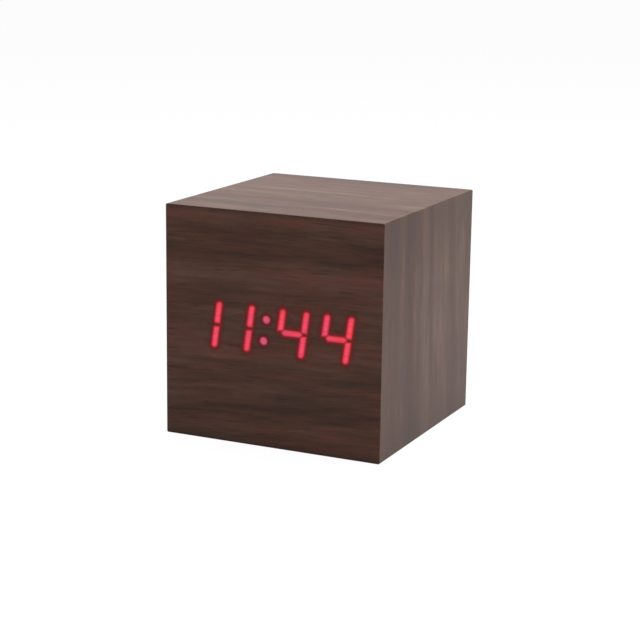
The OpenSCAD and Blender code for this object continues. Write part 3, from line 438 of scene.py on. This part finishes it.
finishes = {
    # moulded against a spark-eroded wall: near black, matt and pebbled
    "blackAbs": plainFinish("sparkTexturedAbs", "#1d1d1f", "#151517", 6.0, 0.32, (0.42, 0.62), 0.035),
    # moulded satin and polished by fingers: a shade lighter, with a soft even gloss
    "capAbs": plainFinish("satinButtonAbs", "#2b2b2e", "#222224", 2.0, 0.25, (0.34, 0.46), 0.01),
    # raised marks rubbed pale: dull grey that reads against the black
    "rubbedAbs": plainFinish("rubbedMarkAbs", "#6a6a6d", "#505053", 0.8, 0.15, (0.4, 0.55), 0.01),
    # moulded smooth: deep black with a clearer gloss
    "socketPbt": plainFinish("socketPbt", "#141416", "#0d0d0f", 2.0, 0.3, (0.25, 0.38), 0.006),
    # cut and blackened: dark metal with a dull glint
    "blackScrew": plainFinish("blackOxideSteel", "#3a3a3d", "#262628", 1.2, 0.15, (0.32, 0.5), 0.008, 0.9),
    # drawn and plated: bright, slightly clouded
    "nickel": plainFinish("nickelPlatedSteel", "#c9cacb", "#aeb0b2", 2.5, 0.2, (0.18, 0.34), 0.006, 1.0),
    # turned and thinly plated: pale yellow shine
    "brass": plainFinish("nickelledBrass", "#d5c48d", "#b8a468", 1.0, 0.15, (0.2, 0.32), 0.004, 1.0),
    # sawn: pale wood, rough, its fibres long in Y
    "blockPine": plainFinish("sawnPineBlock", "#c19a68", "#a47f50", 1.6, 0.4, (0.6, 0.8), 0.03,
                             stretch=(1, 0.12, 1)),
    # pressed fibres: flecked tan with no gloss
    "boardMdf": plainFinish("fibreboard", "#9a7a57", "#86683f", 1.2, 0.3, (0.75, 0.9), 0.03),
    # moulded cloudy: soft white
    "milkyGuide": plainFinish("milkyAcrylic", "#f2e9e6", "#e6dad6", 3.0, 0.3, (0.3, 0.45), 0.005),
    # lacquer over glass cloth: green, glossy, faintly mottled
    "pcb": plainFinish("solderMaskedBoard", "#237342", "#185730", 1.4, 0.25, (0.3, 0.45), 0.012),
    # cast over the chip: cream with a slight gloss
    "ledChip": plainFinish("ledChipResin", "#f4efdc", "#e0d6b4", 0.5, 0.12, (0.3, 0.45), 0.006),
    # moulded with filler: charcoal, matt
    "chipResin": plainFinish("chipEpoxy", "#27272a", "#1c1c1e", 1.2, 0.16, (0.5, 0.7), 0.01),
    # shrunk on: tight, glossy dark blue
    "sleeveBlue": plainFinish("capacitorSleeve", "#2a3a5a", "#1f2c47", 1.5, 0.3, (0.25, 0.4), 0.006),
    # moulded: black, half matt
    "buzzerPlastic": plainFinish("buzzerPpo", "#1c1c1e", "#131315", 2.0, 0.25, (0.4, 0.55), 0.01),
    # dipped: dark brown and wet-looking
    "beadEpoxy": plainFinish("dippedEpoxyBead", "#33281f", "#231b16", 0.5, 0.1, (0.2, 0.35), 0.006),
    # extruded flat: grey with faint lines along the wires
    "ribbonPvc": plainFinish("ribbonPvc", "#979ba0", "#84888e", 0.9, 0.2, (0.4, 0.55), 0.01,
                             stretch=(1, 0.1, 0.1)),
    # moulded: ivory, half matt
    "plugNylon": plainFinish("plugNylon", "#eeeadf", "#ddd8c8", 1.2, 0.2, (0.4, 0.55), 0.008),
    # extruded round the wire: smooth, rather glossy, red and black
    "redPvc": plainFinish("redLeadPvc", "#b8292d", "#9a1e23", 1.0, 0.2, (0.3, 0.45), 0.006),
    "blackPvc": plainFinish("blackLeadPvc", "#222224", "#161618", 1.0, 0.2, (0.3, 0.45), 0.006),
    # moulded stiff: charcoal, matt
    "switchPlastic": plainFinish("switchLcp", "#303033", "#232325", 1.0, 0.2, (0.45, 0.6), 0.008),
    # moulded: warm white with a little gloss
    "plungerPlastic": plainFinish("plungerNylon", "#eae6da", "#d8d3c4", 0.8, 0.15, (0.35, 0.5), 0.006),
    # printed foil shrunk smooth: slate and silver with a soft metallic glint
    "cellSleeve": plainFinish("printedCellSleeve", "#27343f", "#222d38", 9.0, 2.5, (0.24, 0.30), 0.001, 0.15),
    "cellBand": plainFinish("printedCellBand", "#c3c7ca", "#b9bec2", 9.0, 2.5, (0.26, 0.32), 0.001, 0.35),
    # drawn and tumbled: grey metal with scattered gloss
    "cellSteel": plainFinish("cellEndSteel", "#c4c5c6", "#a4a6a8", 1.2, 0.15, (0.25, 0.42), 0.006, 1.0),
}
print("finishes:", len(finishes))


# boards: the film is folded round their long edges, its grain along X on top and below and upright at the
# sides; only the cut rear edges are eased, which leaves a fine groove at each mitre
boardEdge = {"rearDepth": 0.01, "ease": 0.12, "segments": 2, "smoothAngle": 20}
rearEdgeY = cube["high"][1] - boardEdge["rearDepth"]     # edges behind this lie in the rear face
boardLooks = {
    "topBoard": {
        "node": "top_board", "kind": "top", "turn": (0, 0, 0), "lean": (-1.5, -1.0), "shift": (13, 41, 7),
        # the two steps nearest the front edge are a painted highlight along that edge; the other bands are
        # grain
        "bands": ((-29.5, 1.5), (-27.5, 3.2), (-22.5, -3.2), (-17, -0.2), (-11.5, -3), (-7, 0), (-3, 1.5),
                  (1.5, 0.8), (6.5, 1.8), (14, 0.4), (22, -0.4), (29, -2))},
    "bottomBoard": {
        "node": "bottom_board", "kind": "board", "turn": (0, 0, 0), "lean": (1.5, -1.0), "shift": (9, 17, 31),
        "bands": ((-29, -1), (-16, 1), (-4, -1), (9, 2), (28, -1))},
    "rightBoard": {
        "node": "right_board", "kind": "board", "turn": (0, 90, 0), "lean": (-0.5, -6.0),
        "shift": (21, 5, 13),
        "bands": ((-29, -0.2), (-24, -1.7), (-18, 1.1), (-13, -3.6), (-7, -1.3), (-3, 2.2), (0, 2.1),
                  (2.2, -1.5), (4.5, 1.0), (10, 2.3), (17, -0.6), (22, 1.3), (26, 1.1), (29.5, 0)),
        # painted light and shade along the right side: lighter at mid-height and darker towards top and
        # bottom
        "paintedLightAlong": ((-31, -2.4), (-18, 0), (-3, 1.1), (10, 0.4), (31, -2.2))},
    "leftBoard": {
        "node": "left_board", "kind": "board", "turn": (0, 90, 0), "lean": (2.0, -2.5), "shift": (31, 23, 11),
        "bands": ((-28, 1), (-19, -1), (-12, 0.5), (-7, -2), (-3, 1.5), (5, 2), (7, -0.5), (12, 1.5),
                  (19, -2), (27, 1))},
}
for boardName, board in boardLooks.items():
    piece = copyOf(board["node"], boardName)
    bpy.ops.object.shade_smooth_by_angle(angle=math.radians(boardEdge["smoothAngle"]))
    pick(piece, "EDGE", lambda a, b: min(a.y, b.y) > rearEdgeY)
    bpy.ops.mesh.bevel(offset=boardEdge["ease"] * mm, segments=boardEdge["segments"], affect="EDGES")
    objectMode()
    film = woodFilm("walnutFilm." + boardName, board["kind"], board["turn"], "Y", board["lean"],
                    board["shift"], board["bands"], board.get("paintedLightAlong"))
    settle(piece, "case", "wood_film", film, board["node"])
print("boards:", len(boardLooks))


# front film: a thin sheet folded round its edges, open where the strokes shine through, with a fine mesh
# around the digits that carries the red glow in the film
sheet = {
    "cornerRadius": 0.4, "cornerSegments": 6, "edgeRadius": 0.2, "edgeSegments": 4, "smoothAngle": 40,
    "columns": (-20.0, -8.6, 2.8, 14.2, 25.6), "rows": (22.8, 31.3, 39.8),   # fields of the fine mesh
    "cuts": 45,                              # of each field, in both directions
    "cutterStretch": 8, "merge": 0.004,      # cutters reach through the film, and close points are merged
    "skin": 0.05,                            # the glow stays in this depth of the front
    "outlineStep": 0.06,                     # spacing of the points that distances are taken from
    "cornerDigits": 7,                       # decimals, in metres, to which corners of two faces agree
    "glow": "#e01e28",
    "glowEdge": 0.44, "glowWidth": 0.37,     # strength beside a stroke and how far it reaches
    "dotShare": 0.7, "shadeWidth": 0.95,     # the dots glow less; reach of the painted shade round the strokes
    "foldShade": 1.7, "foldShadeShare": 0.58,          # height of the painted shade in the folds and how dark it gets
    "lean": (3.5, 0.5), "shift": (3, 7, 19),
    "bands": ((-30, -0.5), (-26, 0.4), (-21.5, -2.6), (-17, 0.4), (-11.5, -0.2), (-7, 2.3), (0, 0.8),
              (5, 1.4), (9.5, -0.2), (14, 3.3), (20, -2.1), (25, -1.1), (29.5, 2.3)),
}
filmBox = boxOf(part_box("front_film"))
filmMiddle = [c * mm for c in filmBox["middle"]]
frontY = filmBox["low"][1]


def outlineDistance(nodeName):
    # gives the distance in mm from the front outline of a lit solid
    mesh = nodes[nodeName].data
    sides = {}
    for face in mesh.polygons:
        if face.normal.y < -facesAxis:
            loop = [mesh.vertices[i].co for i in face.vertices]
            for pair in zip(loop, loop[1:] + loop[:1]):
                key = tuple(sorted(tuple(round(c, sheet["cornerDigits"]) for c in end) for end in pair))
                sides[key] = sides.get(key, 0) + 1
    points = []
    for (start, end), count in sides.items():
        if count == 1:      # only the outline belongs to a single face
            start = Vector(start)
            end = Vector(end)
            parts = max(1, round((end - start).length / (sheet["outlineStep"] * mm)))
            points += [start.lerp(end, k / parts) for k in range(parts)]
    tree = KDTree(len(points))
    for i, point in enumerate(points):
        tree.insert((point.x, 0.0, point.z), i)
    tree.balance()
    return lambda co: tree.find((co.x, 0.0, co.z))[2] / mm


def setAttribute(piece, name, value):
    layer = piece.data.attributes.new(name, "FLOAT", "POINT")
    layer.data.foreach_set("value", [value(v.co) for v in piece.data.vertices])


workOn(None)
bpy.ops.mesh.primitive_cube_add(size=1, location=filmMiddle, scale=[s * mm for s in filmBox["size"]])
frontFilm = named("frontFilm")
pick(frontFilm, "EDGE", lambda a, b: abs(a.y - b.y) > filmBox["size"][1] / 2)
bpy.ops.mesh.bevel(offset=sheet["cornerRadius"] * mm, segments=sheet["cornerSegments"], affect="EDGES")
pick(frontFilm, "EDGE", lambda a, b: max(a.y, b.y) < frontY + sheet["skin"])
bpy.ops.mesh.bevel(offset=sheet["edgeRadius"] * mm, segments=sheet["edgeSegments"], affect="EDGES")
for x in sheet["columns"]:
    pick(frontFilm, "FACE", lambda c, n: n.y < -flatAcross)
    bpy.ops.mesh.bisect(plane_co=(x * mm, 0, 0), plane_no=(1, 0, 0))
for z in sheet["rows"]:
    pick(frontFilm, "FACE", lambda c, n: n.y < -flatAcross)
    bpy.ops.mesh.bisect(plane_co=(0, 0, z * mm), plane_no=(0, 0, 1))
pick(frontFilm, "FACE", lambda c, n: n.y < -flatAcross
     and sheet["columns"][0] < c.x < sheet["columns"][-1] and sheet["rows"][0] < c.z < sheet["rows"][-1])
bpy.ops.mesh.subdivide(number_cuts=sheet["cuts"])
objectMode()
for nodeName in ("lit_digit_segments", "lit_colon_dots"):
    cutter = copyOf(nodeName, "strokeCutter")
    editAll(cutter)
    bpy.ops.transform.resize(value=(1, sheet["cutterStretch"], 1), center_override=filmMiddle)
    objectMode()
    workOn(frontFilm)
    opening = frontFilm.modifiers.new("strokes", "BOOLEAN")
    opening.operation = "DIFFERENCE"
    opening.solver = "EXACT"
    opening.object = cutter
    bpy.ops.object.modifier_apply(modifier=opening.name)
    bpy.data.objects.remove(cutter)
editAll(frontFilm)
bpy.ops.mesh.remove_doubles(threshold=sheet["merge"] * mm)
objectMode()
strokeDistance = outlineDistance("lit_digit_segments")
dotDistance = outlineDistance("lit_colon_dots")


def filmGlow(co):
    if co.y / mm > frontY + sheet["skin"]:
        return 0.0
    return sum(share * sheet["glowEdge"] * math.exp(-distance / sheet["glowWidth"])
               for distance, share in ((strokeDistance(co), 1.0), (dotDistance(co), sheet["dotShare"])))


# painted shade round the strokes and dots, in the front skin only
def filmShade(co):
    if co.y / mm > frontY + sheet["skin"]:
        return 0.0
    return math.exp(-(min(strokeDistance(co), dotDistance(co)) / sheet["shadeWidth"]) ** 2)


setAttribute(frontFilm, "shade", filmShade)
setAttribute(frontFilm, "glow", filmGlow)
workOn(frontFilm)
bpy.ops.object.shade_smooth_by_angle(angle=math.radians(sheet["smoothAngle"]))
# the flat faces stay flat in the shading
pick(frontFilm, "FACE", lambda c, n: max(abs(n.x), abs(n.y), abs(n.z)) > flatAcross)
bpy.ops.mesh.faces_shade_flat()
objectMode()
film = woodFilm("walnutFilm.front", "front", (0, 0, 0), "Z", sheet["lean"], sheet["shift"], sheet["bands"],
                lit=sheet)
settle(frontFilm, "case", "wood_film", film, "front_film")
print("front film:", len(frontFilm.data.polygons), "faces")


# lit strokes and dots: inlaid pieces whose faces are set in twice, so that the light falls off at the rim;
# levels are the light at the rim, in the ring and in the middle
litLooks = {
    "litStrokes": {"node": "lit_digit_segments", "red": "#f03e50", "pink": "#f04164", "brightness": 1.06,
                   "inset": 0.28, "levels": (0.41, 0.67, 0.98), "distance": strokeDistance},
    "litDots": {"node": "lit_colon_dots", "red": "#d24e68", "pink": "#d45476", "brightness": 1.0,
                "inset": 0.28, "levels": (0.46, 0.72, 1.0), "distance": dotDistance},
}
rimReach = 0.5              # share of an inset that the rim's light reaches
ringReach = 1.4             # and the ring's
for litName, lamp in litLooks.items():
    strokes = copyOf(lamp["node"], litName)
    pick(strokes, "FACE", lambda c, n: n.y < -facesAxis)
    for step in ("ring", "middle"):
        bpy.ops.mesh.inset(thickness=lamp["inset"] * mm, use_individual=True)
    objectMode()

    def coreLight(co):
        rim, ring, middle = lamp["levels"]
        away = lamp["distance"](co)
        if away < lamp["inset"] * rimReach:
            return rim
        return ring if away < lamp["inset"] * ringReach else middle

    setAttribute(strokes, "core", coreLight)
    light = litFilm(litName + "Light", lamp["red"], lamp["pink"], lamp["brightness"])
    settle(strokes, "case", "lit_red", light, lamp["node"])
print("lit strokes and dots:", len(litLooks))


# rear cover, door, buttons, socket and screws: copies of the solids with their moulded edges rounded;
# each has its node, body, slot, finish and edge radius in mm
rearLooks = {
    "rearCover": ("rear_cover", "case", "black_abs", "blackAbs", 0.15),
    "batteryDoor": ("battery_door", "battery_door", "black_abs", "blackAbs", 0.12),
    "setCap": ("set_button", "set_button", "button_plastic", "capAbs", 0.12),
    "upCap": ("up_button", "up_button", "button_plastic", "capAbs", 0.12),
    "downCap": ("down_button", "down_button", "button_plastic", "capAbs", 0.12),
    "socketBody": ("dc_jack", "case", "socket_plastic", "socketPbt", 0.12),
    "socketPin": ("dc_jack_pin", "case", "pin_brass", "brass", 0.3),
    "coverScrews": ("cover_screws", "case", "black_steel", "blackScrew", 0.1),
}
for rearName, (nodeName, body, slotName, finish, radius) in rearLooks.items():
    piece = copyOf(nodeName, rearName)
    roundEdges(piece, radius)
    settle(piece, body, slotName, finishes[finish], nodeName)
print("rear pieces:", len(rearLooks))


# raised marks moulded into the cover and the door: a word and two arrows over the buttons, read from behind,
# and a larger arrow that shows which way the door swings
marks = {
    "raised": 0.15, "sunk": 0.1, "merge": 0.002,
    "edge": 0.03, "edgeSegments": 2, "edgeAngle": 60,
    "overButton": 1.0,                       # from the top of a button's collar to the middle of its mark
    "word": "SET", "wordSize": 2.3, "wordDrop": 0.8, "wordSteps": 4,
    "arrowCorners": 3, "arrowRadius": 1.1,
    "doorArrowRadius": 1.9, "underDoorTop": 10.25,
    "finish": finishes["rubbedAbs"],
}
setBox, upBox, downBox = (boxOf(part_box(button)) for button in ("set_button", "up_button", "down_button"))
setX, upX, downX = (button["middle"][0] for button in (setBox, upBox, downBox))
markZ = setBox["high"][2] + marks["overButton"]
markFootY = boxOf(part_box("rear_cover"))["high"][1] - marks["sunk"]
doorArrowZ = boxOf(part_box("battery_door"))["high"][2] - marks["underDoorTop"]
readFromBehind = (math.radians(90), 0, math.radians(180))
pointingDown = (math.radians(-90), 0, 0)


def raiseMark(name, body):
    # a flat outline becomes a low raised shape, its foot just inside the wall
    mark = named(name)
    editAll(mark)
    bpy.ops.mesh.remove_doubles(threshold=marks["merge"] * mm)
    bpy.ops.mesh.extrude_region_move(TRANSFORM_OT_translate={
        "value": (0, (marks["raised"] + marks["sunk"]) * mm, 0)})
    bpy.ops.mesh.select_all(action="SELECT")
    bpy.ops.mesh.normals_make_consistent(inside=False)
    objectMode()
    roundEdges(mark, marks["edge"], marks["edgeSegments"], marks["edgeAngle"])
    editAll(mark)
    bpy.ops.mesh.remove_doubles(threshold=marks["merge"] * mm)
    objectMode()
    settle(mark, body, "black_abs", marks["finish"])
    return mark


def raiseArrow(name, body, x, z, radius, turn):
    workOn(None)
    bpy.ops.mesh.primitive_circle_add(
        vertices=marks["arrowCorners"], radius=radius * mm, fill_type="NGON", rotation=turn,
        location=(x * mm, markFootY * mm, z * mm))
    return raiseMark(name, body)


workOn(None)
bpy.ops.object.text_add(rotation=readFromBehind, location=(
    setX * mm, markFootY * mm, (markZ - marks["wordDrop"]) * mm))
word = bpy.context.object.data
word.body = marks["word"]
word.align_x = "CENTER"
word.size = marks["wordSize"] * mm
word.resolution_u = marks["wordSteps"]
bpy.ops.object.convert(target="MESH")
raiseMark("setMark", "case")
arrowLift = marks["arrowRadius"] / 4     # the middle of an arrow's height lies this far above its centre
upMark = raiseArrow("upMark", "case", upX, markZ - arrowLift, marks["arrowRadius"], readFromBehind)
downMark = copyTurned(upMark, "downMark", "Y", (upX, 0, markZ), (downX, 0, markZ))
settle(downMark, "case", "black_abs", marks["finish"])
raiseArrow("doorMark", "battery_door", 0, doorArrowZ, marks["doorArrowRadius"], pointingDown)
print("marks: 4")


# cells: a sleeved can with a coloured band, a crimped rim, a steel end plate and the positive nub
cell = {
    "radius": 5.25, "length": 43.7, "nub": 0.8, "pitch": 10.9, "sides": 64,
    "rim": 0.55, "rimDepth": 0.3, "plate": 2.2, "nubRadius": 1.9,
    "footDepth": 0.7, "footRing": 0.9,       # the flat end is pressed in by a share of the rim's depth
    "edge": 0.09, "edgeSegments": 3, "edgeAngle": 40,
    "band": 12.5, "line": 0.8,               # length of the coloured band and of the steel line beside it
    "endDepth": 1.0, "bareShare": 0.6,       # bare steel: how deep at the ends and how far over the rim
}
cellParts = ["cellSleeve", "cellBand", "cellSteel"]
cellsBox = boxOf(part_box("battery_cells"))
plusX = cellsBox["high"][0] - cell["nub"]    # the middle cell's nub points to +X
minusX = plusX - cell["length"]
lineEnd = plusX - cell["band"]
lineStart = lineEnd - cell["line"]
cellY = cellsBox["middle"][1]
cellZ = cellsBox["low"][2] + cell["radius"] + cell["pitch"]


def pushAlongX(length):
    bpy.ops.mesh.extrude_region_move(TRANSFORM_OT_translate={"value": (length * mm, 0, 0)})


workOn(None)
bpy.ops.mesh.primitive_cylinder_add(
    vertices=cell["sides"], radius=cell["radius"] * mm, depth=cell["length"] * mm,
    location=((plusX + minusX) / 2 * mm, cellY * mm, cellZ * mm), rotation=(0, math.radians(90), 0))
can = named("cellMiddle")
pick(can, "FACE", lambda c, n: n.x > facesAxis)
bpy.ops.mesh.inset(thickness=cell["rim"] * mm)
pushAlongX(-cell["rimDepth"])
bpy.ops.mesh.inset(thickness=(cell["radius"] - cell["rim"] - cell["plate"]) * mm)
bpy.ops.mesh.inset(thickness=(cell["plate"] - cell["nubRadius"]) * mm)
pushAlongX(cell["nub"] + cell["rimDepth"])
pick(can, "FACE", lambda c, n: n.x < -facesAxis)
bpy.ops.mesh.inset(thickness=cell["rim"] * mm)
pushAlongX(cell["rimDepth"] * cell["footDepth"])
bpy.ops.mesh.inset(thickness=cell["footRing"] * mm)
pushAlongX(-cell["rimDepth"] * cell["footDepth"])
for x in (lineStart, lineEnd):
    bpy.ops.mesh.select_all(action="SELECT")
    bpy.ops.mesh.bisect(plane_co=(x * mm, 0, 0), plane_no=(1, 0, 0))
objectMode()
roundEdges(can, cell["edge"], cell["edgeSegments"], cell["edgeAngle"])
settle(can, "case", "cell_sleeve", [finishes[part] for part in cellParts], "battery_cells")
for face in can.data.polygons:
    x, y, z = face.center / mm
    away = math.hypot(y - cellY, z - cellZ)
    atEnd = not minusX + cell["endDepth"] < x < plusX - cell["endDepth"]
    part = "cellBand" if x > lineStart else "cellSleeve"
    if lineStart < x < lineEnd or atEnd and away < cell["radius"] - cell["rim"] * cell["bareShare"]:
        part = "cellSteel"
    face.material_index = cellParts.index(part)
for cellName, rise in (("cellLow", -cell["pitch"]), ("cellHigh", cell["pitch"])):
    # the outer cells lie the other way round
    other = copyTurned(can, cellName, "Z", (0, cellY, cellZ), (0, cellY, cellZ + rise))
    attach(other, "case")
    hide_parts("battery_cells")
print("cells: 3")


# contact springs: the wound wire made round
spring = {"joinAngle": math.radians(60), "levels": 2}
springs = copyOf("contact_springs", "contactSprings")
editAll(springs)
bpy.ops.mesh.tris_convert_to_quads(face_threshold=spring["joinAngle"], shape_threshold=spring["joinAngle"])
objectMode()
roundWire = springs.modifiers.new("round", "SUBSURF")
roundWire.levels = roundWire.render_levels = spring["levels"]
bpy.ops.object.modifier_apply(modifier=roundWire.name)
bpy.ops.object.shade_smooth()
settle(springs, "case", "bright_steel", finishes["nickel"], "contact_springs")
print("springs")


# solids that show little or nothing keep their shape and get their own material
nodeFinishes = {
    "front_board": "boardMdf", "corner_blocks": "blockPine", "digit_reflector": "blackAbs",
    "light_guides": "milkyGuide", "display_pcb": "pcb", "segment_leds": "ledChip", "display_screws": "nickel",
    "controller_chip": "chipResin", "driver_chip": "chipResin", "quartz_crystal": "nickel",
    "reservoir_capacitor": "sleeveBlue", "alarm_buzzer": "buzzerPlastic", "microphone": "nickel",
    "thermistor": "beadEpoxy", "ribbon_cable": "ribbonPvc", "ribbon_plugs": "plugNylon",
    "contact_bridges": "nickel", "terminal_contacts": "nickel", "positive_lead": "redPvc",
    "negative_lead": "blackPvc", "key_pcb": "pcb", "key_pcb_screws": "nickel",
    "tact_switches": "switchPlastic", "set_plunger": "plungerPlastic", "up_plunger": "plungerPlastic",
    "down_plunger": "plungerPlastic",
}
for nodeName, finish in nodeFinishes.items():
    nodes[nodeName].data.materials.clear()
    nodes[nodeName].data.materials.append(finishes[finish])
print("solids with a finish:", len(nodeFinishes))


# studio: white floor that keeps a faint shadow, soft light from above and a little from the right;
# each lamp has its place and size in mm and its power in watts
studio = {
    "floorSize": 6000, "floorDrop": 0.02, "floorColour": "#d0d0d0",
    "floorWhite": 0.9, "whiteLevel": 1.06,   # share and level of plain white in the floor that is seen
    "worldLight": 0.28, "worldShown": 1.0,   # strength of the surroundings as light and as background
    "lamps": (("topSoftbox", (80, 100, 780), 600, 7.0), ("rightSoftbox", (750, 100, 350), 500, 0.75)),
}
cubeMiddle = Vector(cube["middle"]) * mm


def shownRays(tree):
    # 1 for rays that see the background: from the camera, in gloss and through clear things
    path = addNode(tree, "LightPath")
    some = addNode(tree, "Math", {"operation": "MAXIMUM"}, {
        0: path.outputs["Is Camera Ray"], 1: path.outputs["Is Glossy Ray"]})
    return addNode(tree, "Math", {"operation": "MAXIMUM"}, {0: some, 1: path.outputs["Is Transmission Ray"]})


workOn(None)
bpy.ops.mesh.primitive_plane_add(size=studio["floorSize"] * mm, location=(0, 0, -studio["floorDrop"] * mm))
floor = named("studioFloor")
# white paper, matt: lit as pale grey, and shown nearly white
paper = bpy.data.materials.new("whitePaper")
paper.use_nodes = True
paperTree = paper.node_tree
paperTree.nodes.clear()
matte = addNode(paperTree, "BsdfDiffuse", {}, {"Color": toLinear(studio["floorColour"])})
white = addNode(paperTree, "Emission", {}, {"Strength": studio["whiteLevel"]})
seen = addNode(paperTree, "Math", {"operation": "MULTIPLY"}, {
    0: shownRays(paperTree), 1: studio["floorWhite"]})
mixed = addNode(paperTree, "MixShader", {}, {0: seen, 1: matte, 2: white})
addNode(paperTree, "OutputMaterial", {}, {"Surface": mixed})
floor.data.materials.append(paper)

world = bpy.data.worlds.new("studioWorld")
bpy.context.scene.world = world
world.use_nodes = True
world.node_tree.nodes.clear()
sky = addNode(world.node_tree, "MapRange", {}, {
    "Value": shownRays(world.node_tree), "To Min": studio["worldLight"], "To Max": studio["worldShown"]})
dome = addNode(world.node_tree, "Background", {}, {"Color": (1, 1, 1, 1), "Strength": sky})
addNode(world.node_tree, "OutputWorld", {}, {"Surface": dome})

for lampName, place, size, watts in studio["lamps"]:
    lampLight = bpy.data.lights.new(lampName, "AREA")
    lampLight.size = size * mm
    lampLight.energy = watts
    softbox = bpy.data.objects.new(lampName, lampLight)
    softbox.location = [c * mm for c in place]
    softbox.rotation_euler = (cubeMiddle - softbox.location).to_track_quat("-Z", "Y").to_euler()
    bpy.context.scene.collection.objects.link(softbox)


# camera: a long lens, turned 25 degrees to the right of the front and a little above, as in the photograph;
# offset is where the cube's middle lies to the right of, below and in front of the lens, in mm
view = {"azimuth": 25.04, "elevation": 13.21, "roll": -0.81, "offset": (0.632, -3.050, 480.87),
        "lens": 99.28, "sensor": 36.0, "clipStart": 10.0}
azimuth, elevation, roll = (math.radians(view[turn]) for turn in ("azimuth", "elevation", "roll"))
forward = Vector((-math.sin(azimuth) * math.cos(elevation), math.cos(azimuth) * math.cos(elevation),
                  -math.sin(elevation)))
level = forward.cross(Vector((0, 0, 1))).normalized()
plumb = forward.cross(level)
right = level * math.cos(roll) + plumb * math.sin(roll)
down = plumb * math.cos(roll) - level * math.sin(roll)
along, below, ahead = (part * mm for part in view["offset"])
eye = cubeMiddle - (right * along + down * below + forward * ahead)
lens = bpy.data.cameras.new("camera")
lens.lens = view["lens"]
lens.sensor_width = view["sensor"]
lens.clip_start = view["clipStart"] * mm
camera = bpy.data.objects.new("camera", lens)
camera.matrix_world = Matrix.Translation(eye) @ Matrix((right, -down, -forward)).transposed().to_4x4()
bpy.context.scene.collection.objects.link(camera)
bpy.context.scene.camera = camera
bpy.context.scene.view_settings.view_transform = "Standard"
print("studio and camera")
